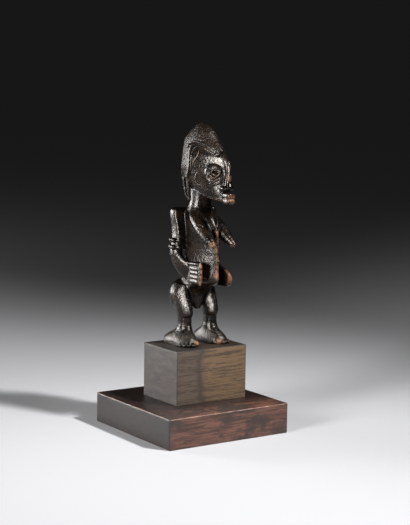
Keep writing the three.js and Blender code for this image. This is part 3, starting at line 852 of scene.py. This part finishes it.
class Socket:
    """An output socket of a material. Arithmetic on it adds Math nodes."""

    def __init__(self, finish, socket):
        self.finish = finish
        self.socket = socket

    def math(self, operation, *values):
        return self.finish.node("ShaderNodeMath", dict(enumerate(values)), operation=operation)

    def __add__(self, other):
        return self.math("ADD", self, other)

    def __sub__(self, other):
        return self.math("SUBTRACT", self, other)

    def __rsub__(self, other):
        return self.math("SUBTRACT", other, self)

    def __mul__(self, other):
        return self.math("MULTIPLY", self, other)

    __radd__ = __add__
    __rmul__ = __mul__

    def between(self, low, high):
        """Smooth step from 0 at low to 1 at high."""
        inputs = {"Value": self, "From Min": low, "From Max": high}
        return self.finish.node("ShaderNodeMapRange", inputs, interpolation_type="SMOOTHSTEP")

    def largest(self, other):
        return self.math("MAXIMUM", self, other)


class Finish:
    """A material whose nodes are made one by one."""

    def __init__(self, name):
        self.material = bpy.data.materials.new(name)
        self.material.use_nodes = True
        self.tree = self.material.node_tree
        self.shader = self.tree.nodes["Principled BSDF"]

    def node(self, kind, inputs=(), output=0, **settings):
        """Adds a node with its settings, then the values or links of its sockets, and gives one of its
        outputs."""
        node = self.tree.nodes.new(kind)
        for name, value in settings.items():
            setattr(node, name, value)
        for name, value in dict(inputs).items():
            self.feed(node.inputs[name], value)
        return Socket(self, node.outputs[output])

    def feed(self, socket, value):
        if isinstance(value, Socket):
            self.tree.links.new(value.socket, socket)
        else:
            socket.default_value = value

    def set(self, **values):
        """Feeds the shader's own sockets, named with _ for a space."""
        for name, value in values.items():
            self.feed(self.shader.inputs[name.replace("_", " ")], value)

    def place(self, stretch=(1, 1, 1), turn=(0, 0, 0)):
        """The piece's own coordinates in mm, stretched and turned."""
        own = self.node("ShaderNodeTexCoord", output="Object")
        inputs = {"Vector": own, "Scale": [share / MM for share in stretch], "Rotation": turn}
        return self.node("ShaderNodeMapping", inputs)

    def along(self, axis):
        """The piece's own coordinate in mm along one axis."""
        return self.node("ShaderNodeSeparateXYZ", {"Vector": self.place()}, output=axis)

    def noise(self, waves, detail, roughness, distortion=0.0, **place):
        """Noise over the piece, with so many waves a mm."""
        inputs = {"Scale": waves, "Detail": detail, "Roughness": roughness, "Distortion": distortion}
        return self.node("ShaderNodeTexNoise", {"Vector": self.place(**place), **inputs})

    def mix(self, first, second, share):
        """A colour that goes from the first to the second as the share goes from 0 to 1."""
        inputs = {0: share, 6: colour(first), 7: colour(second)}
        return self.node("ShaderNodeMix", inputs, output=2, data_type="RGBA")

    def attribute(self, name):
        return self.node("ShaderNodeAttribute", output="Fac", attribute_name=name)

    def bump(self, height, distance, under=None):
        """Raised detail over what lies under it, a height of 1 being the distance in mm."""
        inputs = {"Height": height, "Distance": distance * MM, "Strength": BUMP_STRENGTH}
        if under is not None:
            inputs["Normal"] = under
        return self.node("ShaderNodeBump", inputs)


def colour(values):
    """Three numbers as an opaque colour. A socket stays as it is."""
    return values if isinstance(values, Socket) else (*values, 1.0)


def patina_finish(settings):
    """Near-black oiled patina over red-brown wood, rubbed through on edges and handled places, where the
    bare wood also paints the warm key light. Darker with dirt and painted shade in the hollows, dull on the
    hair, and dusty on the feet, where the pale dust also paints their sheen."""
    wood = Finish("carved_wood")
    grain = wood.noise(1.4, 4, 0.6, 0.4, stretch=(1, 1, 0.2))
    patches = wood.noise(0.12, 4, 0.6)
    cuts = wood.noise(0.28, 2, 0.5, 0.3)
    chips = wood.noise(0.6, 2, 0.5, 0.5, stretch=(1, 1, 0.6))
    specks = wood.noise(1.0, 4, 0.7)
    hollow, edge, worn, hair = (wood.attribute(name) for name in ("hollow", "edge", "worn", "hair"))
    body = 1 - wood.along("Z").between(*FACE_Z)
    feet = 1 - wood.along("Z").between(*FEET_Z)
    thin = (patches * 0.6 + specks * 0.4 + hair * 0.03).between(0.46, 0.58)
    tone = wood.mix(settings.patina, settings.patina_brown, thin)
    rubbed = (edge * 1.3 + (specks - 0.5) * 1.4 + (patches - 0.5) * 0.8).between(0.45, 1.0) * (1 - hollow)
    tone = wood.mix(tone, settings.rubbed, rubbed * (0.55 - hair * 0.35))
    # Bare wood at handled places, which also paints the warm glow of the key light on nose, lips, breasts,
    # belly, hand and toes
    bare_and_lit = (worn + (specks - 0.5) * 1.2 + (grain - 0.5) * 0.6).between(0.3, 0.9)
    tone = wood.mix(tone, settings.bare_and_lit, bare_and_lit)
    # Dirt and painted shade: the hollows, where shade falls, are darkened
    tone = wood.mix(tone, settings.grime_and_shade, hollow.between(0.25, 0.8) * 0.85)
    # Pale dust on the feet, which also paints the bright sheen on their outer sides
    dust_and_sheen_mask = (specks + (grain - 0.5)).between(0.4, 0.75) * feet * wood.along("Y").between(*TOES_Y)
    tone = wood.mix(tone, settings.dust_and_sheen, dust_and_sheen_mask * (1 - hollow) * 0.5)
    rough = 0.24 + (specks - 0.5) * 0.5 + bare_and_lit * 0.16 + hollow * 0.2 + hair * 0.12
    rough = rough + body * 0.05 + feet * 0.08
    tooled = wood.bump(cuts * (hair * 0.5 + 1), 0.45)
    chipped = wood.bump(chips * (hair * 3 + body * 0.25 + 1), 0.4, under=tooled)
    fine = wood.bump(grain, 0.05, under=chipped)
    pits = wood.bump(specks * (hair * 3 + feet + 1), 0.14, under=fine)
    wood.set(Base_Color=tone, Roughness=rough, Normal=pits, IOR=1.33, Specular_Tint=colour(WARM_WHITE))
    return wood.material


def block_finish(settings):
    """Brown waxed wood with level streaks: greyish at one end, golden heartwood past a dark bow."""
    wood = Finish("block_wood")
    x, z = wood.along("X"), wood.along("Z")
    warp = wood.noise(0.035, 3, 0.5)
    ripple = wood.noise(0.25, 2, 0.5, stretch=(0.3, 0.3, 1))
    streaks = wood.noise(0.75, 5, 0.65, 0.6, stretch=(0.05, 0.25, 1), turn=(0, 0.06, 0))
    pores = wood.noise(2.6, 3, 0.7, stretch=(0.12, 0.4, 1), turn=(0, 0.1, 0))
    bend = (z - HEART_Z) * (z - HEART_Z) * 0.012
    inwards = x - bend + (warp - 0.5) * 16 + (ripple - 0.5) * 5
    bow = inwards.between(-12, -8.5) * (1 - inwards.between(-7.5, -4))
    tone = wood.mix(settings.block_grey, settings.block_gold, inwards.between(-9, 1))
    dark = (streaks + (pores - 0.5) * 0.6).between(0.42, 0.62)
    tone = wood.mix(tone, settings.block_dark, (dark * 0.85).largest(bow * 0.7))
    # The block's top is painted darker
    tone = wood.mix(tone, settings.grime_and_shade, z.between(*BLOCK_TOP_Z) * (0.7 + (warp - 0.5)))
    # End grain and painted shade: the block's left end face, turned from the key light, is darkened
    end = 1 - x.between(*BLOCK_END_X)
    tone = wood.mix(tone, settings.end_grain_and_shade, end * (0.75 + (ripple - 0.5) * 1.2))
    rough = 0.56 + (pores - 0.5) * 0.3
    wood.set(Base_Color=tone, Roughness=rough, Normal=wood.bump(pores + streaks, 0.2), IOR=1.4)
    return wood.material


def slab_finish(settings):
    """Dark reddish-brown stained wood with level streaks and darker clouds, rubbed pale along its edges,
    which also paints their highlight. Its left end is darkened as end grain and painted shade, and the back
    of its top as stain and painted shadow.
    """
    wood = Finish("slab_wood")
    streaks = wood.noise(0.6, 5, 0.65, 0.5, stretch=(0.07, 0.3, 1))
    pores = wood.noise(2.2, 4, 0.7, stretch=(0.1, 0.5, 1))
    clouds = wood.noise(0.07, 4, 0.6, stretch=(0.4, 0.6, 1))
    blots = wood.noise(0.25, 3, 0.6) - 0.5
    tone = wood.mix(settings.slab_dark, settings.slab_light, streaks.between(0.38, 0.62))
    tone = wood.mix(tone, settings.slab_stain, (clouds + blots * 0.3).between(0.48, 0.6) * 0.95)
    tone = wood.mix(tone, settings.slab_dark, pores.between(0.52, 0.72) * 0.6)
    # End grain and painted shade: the slab's left end face, turned from the key light, is darkened
    tone = wood.mix(tone, settings.end_grain_and_shade, (1 - wood.along("X").between(*SLAB_END_X)) * 0.95)
    # Painted shadow and stain: the slab's top is darkened behind a lighter front strip, where the block's
    # shadow falls and the wood is stained
    top = wood.along("Z").between(*SLAB_TOP_Z) * (wood.along("Y") + blots * 30).between(*SLAB_FRONT_Y)
    tone = wood.mix(tone, settings.grime_and_shade, top * 0.85)
    # Pale rubbed edges of the slab, which also paint the highlight along its edges
    worn = (wood.attribute("edge") + blots * 1.6).between(0.75, 1.1)
    tone = wood.mix(tone, settings.slab_worn_and_lit, worn * 0.7)
    rough = 0.42 + (pores - 0.5) * 0.3 + blots * 0.3
    wood.set(Base_Color=tone, Roughness=rough, Normal=wood.bump(pores + streaks, 0.2), IOR=1.45)
    return wood.material


def wound_piece(name, grid, material, **layers):
    """A piece from a grid of points: columns side by side that close into a ring, each running up or
    inwards, so that the faces point outwards. A layer is one number for each point of a column. Seams and
    poles are closed."""
    around, up = grid.shape[:2]
    index = np.arange(around * up).reshape(around, up)
    after = np.roll(index, -1, axis=0)
    faces = np.stack([index[:, :-1], after[:, :-1], after[:, 1:], index[:, 1:]], axis=-1).reshape(-1, 4)
    piece = new_piece(name, grid.reshape(-1, 3), faces, material)
    for layer, values in layers.items():
        paint(piece.data, layer, np.tile(values, around))
    shape = bmesh.new()
    shape.from_mesh(piece.data)
    bmesh.ops.remove_doubles(shape, verts=shape.verts, dist=SEAM)
    bmesh.ops.dissolve_degenerate(shape, edges=shape.edges, dist=SEAM)
    shape.to_mesh(piece.data)
    shape.free()
    return piece


def plinth_piece(name, low, high, edge, corner, material):
    """A block as a profile carried round its plan: the plan is a rectangle with round corners, drawn in
    from the side by the profile, which runs up from the middle of the underside, round the lower edge, up
    the side, round the upper edge and in to the middle of the top. Wear draws the edges in a little more
    in places."""
    low, high = np.array(low), np.array(high)
    centre, half = (low + high) / 2, (high - low) / 2
    quarter = np.linspace(0, np.pi / 2, EDGE_STEPS)
    near, away = edge * (1 - np.cos(quarter)), edge * (1 - np.sin(quarter))
    rise = np.linspace(-half[2] + edge, half[2] - edge, RISE_STEPS)[1:-1]
    flat = np.zeros(len(CAP))
    inset = np.concatenate([flat, away, 0 * rise, near, flat])
    level = np.concatenate([flat - half[2], -half[2] + near, rise, half[2] - away, flat + half[2]])
    shrink = np.concatenate([CAP, np.ones(len(level) - 2 * len(CAP)), CAP[::-1]])
    sharp = np.sin(2 * quarter)
    run = np.linspace(-1, 1, SIDE_STEPS)
    turn = np.column_stack([np.cos(quarter), np.sin(quarter)])[1:-1]
    plan, outward = [], []
    for side in range(4):
        a, b = half[:2] if side % 2 == 0 else half[1::-1]
        straight = np.column_stack([np.full(SIDE_STEPS, a), run * (b - corner)])
        arc = (a - corner, b - corner) + corner * turn
        spin = np.array(Matrix.Rotation(side * math.pi / 2, 2)).T
        plan.append(np.concatenate([straight, arc]) @ spin)
        outward.append(np.concatenate([np.tile([1.0, 0.0], (SIDE_STEPS, 1)), turn]) @ spin)
    plan, outward = np.concatenate(plan), np.concatenate(outward)
    wear = sum(np.sin(plan @ (along_x, along_y) + start) for along_x, along_y, start in WEAR_WAVES)
    wear = 1 + EDGE_WEAR * wear[:, None] / len(WEAR_WAVES)
    drawn_in = (inset * wear)[..., None] * (shrink == 1)[:, None]
    place = plan[:, None] * shrink[:, None] - outward[:, None] * drawn_in
    grid = np.dstack([place, np.broadcast_to(level, place.shape[:2])]) + centre
    near_edge = np.concatenate([flat, sharp, 0 * rise, sharp, flat])
    return wound_piece(name, grid, material, edge=near_edge)


def number(name, description, default, unit="NONE", precision=2):
    """A number that the user can change."""
    return bpy.props.FloatProperty(
        name=name, description=description, default=default, unit=unit, precision=precision
    )


def point(name, description, *default):
    """A point that the user can change."""
    return bpy.props.FloatVectorProperty(
        name=name, description=description, default=default, subtype="TRANSLATION", unit="LENGTH"
    )


def tint(name, description, *default):
    """A colour that the user can change."""
    return bpy.props.FloatVectorProperty(
        name=name, description=description, default=default, subtype="COLOR"
    )


class PlaceSettings(bpy.types.PropertyGroup):
    """Where the carving stands, and how finely it is skinned."""

    figure_x: number("Figure X", "The figure's middle plane", 6.9 * MM, "LENGTH", 4)
    figure_y: number("Figure Y", "Middle of the figure, front to back", 2.7 * MM, "LENGTH", 4)
    spacing: number("Clay spacing", "Distance between points of the clay", 0.45 * MM, "LENGTH", 5)
    triangles: bpy.props.IntProperty(
        name="Triangles", description="Most triangles that the carving's mesh may have", default=196000
    )


class FinishSettings(bpy.types.PropertyGroup):
    """Colours of the woods."""

    patina: tint("Patina", "Darkest patina", 0.0012, 0.0008, 0.0006)
    patina_brown: tint("Brown patina", "Patina in thinner patches", 0.008, 0.0046, 0.0028)
    rubbed: tint("Rubbed edges", "Wood showing on rubbed edges", 0.08, 0.042, 0.025)
    # Bare wood at handled places, which also paints the warm key light on front-facing parts
    bare_and_lit: tint("Bare wood", "Handled places", 0.15, 0.072, 0.038)
    # Pale dust on the feet, which also paints the sheen on their outer sides
    dust_and_sheen: tint("Dust", "Pale dust in the worn grain of the feet", 0.17, 0.15, 0.13)
    # Dirt and painted shade in the hollows of the carving; also painted shadow on the slab's top, and the
    # darker top of the block
    grime_and_shade: tint("Grime", "Dark dirt in the hollows", 0.004, 0.003, 0.0025)
    block_dark: tint("Block, dark grain", "Late wood of the block", 0.028, 0.019, 0.0135)
    block_grey: tint("Block, sapwood", "Greyish end of the block", 0.062, 0.045, 0.034)
    block_gold: tint("Block, heartwood", "Golden end of the block", 0.1, 0.062, 0.034)
    slab_dark: tint("Slab, dark grain", "Dark grain of the slab", 0.04, 0.02, 0.015)
    slab_light: tint("Slab, red grain", "Reddish wood of the slab", 0.11, 0.05, 0.035)
    slab_stain: tint("Slab, stain", "Dark clouds on the slab", 0.03, 0.02, 0.0175)
    # Darkens the left end faces of block and slab, as end grain and as painted shade
    end_grain_and_shade: tint("End grain", "Dark end grain of the plinth", 0.008, 0.006, 0.005)
    # Pale wear on the slab's edges, which also paints their highlight
    slab_worn_and_lit: tint("Slab, worn edge", "Light wood on the slab's edges", 0.28, 0.15, 0.1)


class StageSettings(bpy.types.PropertyGroup):
    """Camera and light."""

    camera_place: point("Camera", "Where the camera stands", -579.6 * MM, -876.5 * MM, 263.1 * MM)
    camera_target: point("Target", "What the camera looks at", 10.6 * MM, 0.0, 121.1 * MM)
    camera_roll: number("Roll", "Turn of the camera about its view", math.radians(0.78), "ROTATION")
    camera_lens: number("Lens", "Focal length", 100.46, "CAMERA")
    floor_colour: tint("Floor", "Pale floor", 0.4, 0.4, 0.41)
    key_place: point("Key light", "Where the key light stands", 0.41, -0.77, 0.98)
    key_aim: point("Key aim", "Middle of its beam on the floor", -0.65, -0.1, 0.0)
    key_beam: number("Key beam", "Opening angle of the beam", math.radians(88), "ROTATION")
    key_power: number("Key power", "Power of the key light", 170, "POWER")
    rim_power: number("Rim power", "Power of the light behind the figure", 1.0, "POWER")
    softbox_power: number("Softbox power", "Power of the soft light up at the left", 1.35, "POWER")
    backdrop_power: number("Backdrop power", "Power of the light on the floor behind", 9, "POWER")
    dim_grey: number("Dim grey", "Brightness of the dark room, and of the floor in it", 0.0085)


class FIGURE_OT_carving(bpy.types.Operator):
    """Carve the figure and give it its patina"""

    bl_idname = "figure.carving"
    bl_label = "Carving"

    def execute(self, context):
        place = context.scene.figure_place
        spacing = place.spacing / MM
        axes = [np.arange(low, high, spacing) for low, high in CLAY_BOX]
        x, y, z = np.ix_(*(axis.astype(np.float32) for axis in axes))
        vertices, faces = skin(carve(x, y, z), axes)
        piece = new_piece("carved_figure", vertices, faces, patina_finish(context.scene.figure_finish))
        thin_out(piece, place.triangles)
        mesh = piece.data
        points = settle(vertices_of(mesh), 3)
        slope = slope_at(points)
        normals = slope / np.maximum(np.linalg.norm(slope, axis=1), 1e-6)[:, None]
        paint(mesh, "hollow", nearness(points, normals, 1, HOLLOW_LOOKS))
        paint(mesh, "edge", nearness(points, normals, -1, EDGE_LOOKS))
        paint(mesh, "worn", worn_and_lit_at(points))
        paint(mesh, "hair", hair_at(points))
        top_of_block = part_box("block")[1].z
        placed = points * MM + (place.figure_x, place.figure_y, top_of_block)
        mesh.vertices.foreach_set("co", placed.ravel())
        mesh.update()
        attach(piece, "root")
        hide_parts("figure")
        return {"FINISHED"}


class FIGURE_OT_plinth(bpy.types.Operator):
    """Make the block and the slab"""

    bl_idname = "figure.plinth"
    bl_label = "Plinth"

    def execute(self, context):
        finish = context.scene.figure_finish
        for node, slot, edge, corner, material in (
            ("block", "block_wood", 0.35 * MM, 0.4 * MM, block_finish(finish)),
            ("slab", "slab_wood", 0.8 * MM, 1.4 * MM, slab_finish(finish)),
        ):
            piece = plinth_piece(f"plinth_{node}", *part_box(node), edge, corner, material)
            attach(piece, "root")
            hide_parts(node)
        return {"FINISHED"}


def hang(thing, place, turn):
    """Puts a lamp or the camera in its place."""
    made = bpy.data.objects.new(thing.name, thing)
    made.location = place
    made.rotation_mode = "QUATERNION"
    made.rotation_quaternion = turn
    bpy.context.scene.collection.objects.link(made)
    return made


def facing(place, target):
    """The turn of a lamp or camera at a place that faces its target."""
    return (Vector(target) - Vector(place)).to_track_quat("-Z", "Y")


def soft_lamp(name, place, target, size, spread, power):
    """A rectangular lamp whose light stays within its spread."""
    lamp = bpy.data.lights.new(name, "AREA")
    lamp.shape = "RECTANGLE"
    lamp.size, lamp.size_y = size
    lamp.spread = math.radians(spread)
    lamp.energy = power
    hang(lamp, place, facing(place, target))


def key_lamp(stage):
    """A lamp in a reflector, whose beam fades softly towards its edge."""
    lamp = bpy.data.lights.new("key", "SPOT")
    lamp.spot_size = stage.key_beam
    lamp.spot_blend = 1.0
    lamp.shadow_soft_size = KEY_RADIUS
    lamp.energy = stage.key_power
    hang(lamp, stage.key_place, facing(stage.key_place, stage.key_aim))


def floor_piece(stage):
    """A level round floor, as rings of points that run inwards."""
    finish = Finish("floor")
    finish.set(Base_Color=colour(stage.floor_colour), Roughness=0.8, Specular_IOR_Level=0.0)
    finish.set(Emission_Color=colour([stage.dim_grey * FLOOR_GLOW] * 3), Emission_Strength=1.0)
    turn = np.linspace(0, 2 * np.pi, FLOOR_STEPS + 1)[:-1]
    plan = np.column_stack([np.cos(turn), np.sin(turn), 0 * turn])
    return wound_piece("floor", plan[:, None] * np.array(FLOOR_RADII)[:, None], finish.material)


class FIGURE_OT_stage(bpy.types.Operator):
    """Set up the camera, the pale floor and the soft lights"""

    bl_idname = "figure.stage"
    bl_label = "Stage"

    def execute(self, context):
        stage = context.scene.figure_stage
        lens = bpy.data.cameras.new("camera")
        lens.lens = stage.camera_lens
        lens.sensor_width = SENSOR_WIDTH
        roll = Matrix.Rotation(stage.camera_roll, 3, "Z").to_quaternion()
        turn = facing(stage.camera_place, stage.camera_target) @ roll
        context.scene.camera = hang(lens, stage.camera_place, turn)

        piece = floor_piece(stage)

        world = bpy.data.worlds.new("studio")
        world.use_nodes = True
        background = world.node_tree.nodes["Background"]
        background.inputs["Color"].default_value = colour([stage.dim_grey] * 3)
        background.inputs["Strength"].default_value = 1.0
        context.scene.world = world

        context.scene.view_settings.view_transform = "Standard"
        key_lamp(stage)
        for name, (place, target, size, spread) in SOFT_LAMPS.items():
            soft_lamp(name, place, target, size, spread, getattr(stage, f"{name}_power"))
        return {"FINISHED"}


class VIEW3D_PT_figure(bpy.types.Panel):
    """The figure's pieces and settings"""

    bl_label = "Carved Figure"
    bl_space_type = "VIEW_3D"
    bl_region_type = "UI"
    bl_category = "Figure"

    def draw(self, context):
        layout = self.layout
        for operator in OPERATORS:
            layout.operator(operator.bl_idname)
        for group in (context.scene.figure_place, context.scene.figure_finish, context.scene.figure_stage):
            box = layout.box()
            for name in group.__annotations__:
                box.prop(group, name)


OPERATORS = (FIGURE_OT_carving, FIGURE_OT_plinth, FIGURE_OT_stage)
GROUPS = {"figure_place": PlaceSettings, "figure_finish": FinishSettings, "figure_stage": StageSettings}
CLASSES = (*GROUPS.values(), *OPERATORS, VIEW3D_PT_figure)


def register():
    for made in CLASSES:
        bpy.utils.register_class(made)
    for name, group in GROUPS.items():
        setattr(bpy.types.Scene, name, bpy.props.PointerProperty(type=group))


def unregister():
    for name in GROUPS:
        delattr(bpy.types.Scene, name)
    for made in reversed(CLASSES):
        bpy.utils.unregister_class(made)


def main():
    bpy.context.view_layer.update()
    register()
    bpy.ops.figure.carving()
    bpy.ops.figure.plinth()
    bpy.ops.figure.stage()
    bpy.context.view_layer.update()


if __name__ == "__main__":
    main()
